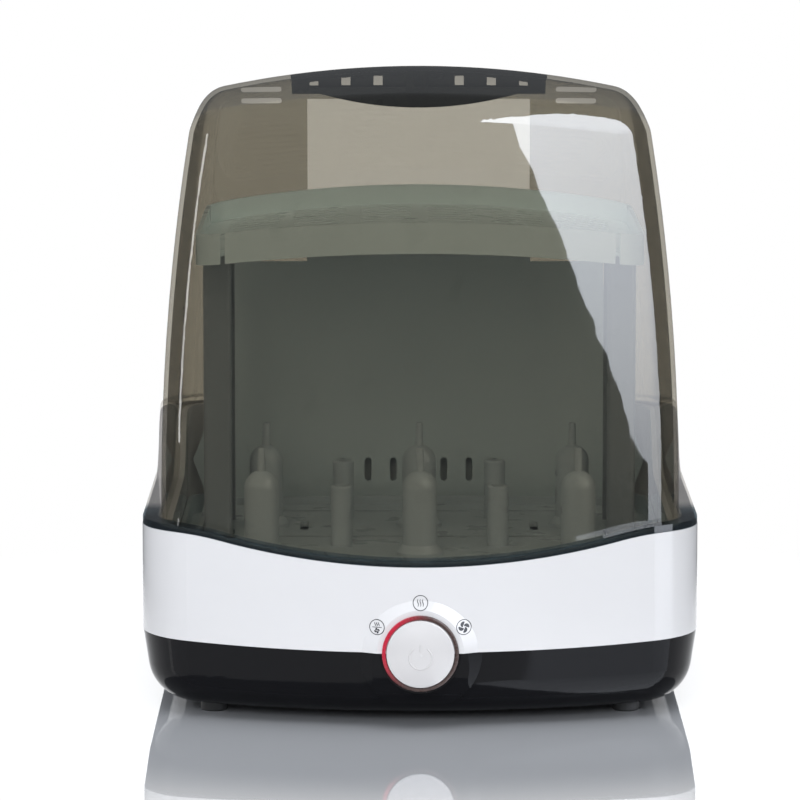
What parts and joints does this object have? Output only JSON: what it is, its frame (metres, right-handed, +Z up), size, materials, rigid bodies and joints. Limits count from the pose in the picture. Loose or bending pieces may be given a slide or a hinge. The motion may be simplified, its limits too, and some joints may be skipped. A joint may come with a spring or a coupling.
{
  "type": "bottle sterilizer",
  "caption": "Countertop baby bottle steam sterilizer and dryer: tinted hinged hood over a two-tone base, peg rack, arched upper tray and a front selector knob.",
  "frame": {"origin": "middle of the bounding box, on the surface that the feet stand on", "axes": "+X to the right seen from the front, +Y to the rear, +Z up; the knob faces -Y"},
  "size_m": [0.306, 0.339, 0.345],
  "materials": {
    "black_gloss": "high gloss moulded",
    "white_gloss": "high gloss moulded",
    "light_grey_plastic": "satin moulded",
    "pale_green_plastic": "satin moulded",
    "smoke_clear": "polished smoke-tinted clear",
    "clear_window": "polished clear",
    "dark_trim": "satin moulded",
    "translucent_ring": "frosted translucent",
    "led_lens": "clear lens",
    "stainless_plate": "brushed round",
    "zinc_steel": "zinc plated",
    "cast_aluminium": "as cast",
    "black_rubber": "matt",
    "silicone": "matt",
    "circuit_board": "solder mask",
    "filter_felt": "pleated felt"
  },
  "bodies": {
    "base": {"lower_shell": "black_gloss", "base_band": "white_gloss", "deck": "light_grey_plastic", "rubber_feet": "black_rubber", "base_screws": "zinc_steel", "plate_seal": "silicone", "heating_plate": "stainless_plate", "heater_element": "cast_aluminium", "thermostat": "dark_trim", "fan_housing": "dark_trim", "fan_motor": "zinc_steel", "control_board": "circuit_board", "indicator_leds": "led_lens", "selector_switch": "zinc_steel", "light_ring": "translucent_ring", "power_board": "circuit_board", "power_inlet": "dark_trim", "back_duct": "light_grey_plastic", "hinge_brackets": "dark_trim", "hinge_pins": "zinc_steel", "bracket_screws": "zinc_steel"},
    "hood": {"hood": "smoke_clear", "rear_window": "clear_window", "vent_strip": "dark_trim"},
    "rack": {"rack_base": "light_grey_plastic", "bottle_pegs": "light_grey_plastic", "slim_posts": "light_grey_plastic", "side_columns": "light_grey_plastic"},
    "tray": {"tray": "pale_green_plastic"},
    "blower_wheel": {"fan_wheel": "dark_trim"},
    "selector_spindle": {"selector_shaft": "dark_trim"},
    "selector_knob": {"knob_cap": "white_gloss"},
    "filter_drawer": {"filter_cover": "white_gloss", "air_filter": "filter_felt"}
  },
  "joints": [
    {"name": "hood_hinge", "type": "hinge", "parent": "base", "child": "hood", "pos_m": [0, 0.1615, 0.15], "axis": [-1, 0, 0], "range_deg": [0, 80]},
    {"name": "rack_lift", "type": "slide", "parent": "base", "child": "rack", "axis": [0, 0, 1], "range_m": [0, 0.012]},
    {"name": "tray_lift", "type": "slide", "parent": "rack", "child": "tray", "axis": [0, 0, 1], "range_m": [0, 0.03]},
    {"name": "knob_turn", "type": "hinge", "parent": "base", "child": "selector_spindle", "pos_m": [0, -0.16, 0.042], "axis": [0, 1, 0], "range_deg": [-60, 60]},
    {"name": "knob_press", "type": "slide", "parent": "selector_spindle", "child": "selector_knob", "axis": [0, 1, 0], "range_m": [0, 0.0015], "stiffness_N_per_m": 1200},
    {"name": "fan_spin", "type": "hinge", "parent": "base", "child": "blower_wheel", "pos_m": [0, 0.096, 0.05], "axis": [0, 0, 1], "continuous": true},
    {"name": "filter_slide", "type": "slide", "parent": "base", "child": "filter_drawer", "axis": [0, 1, 0], "range_m": [0, 0.055]}
  ]
}
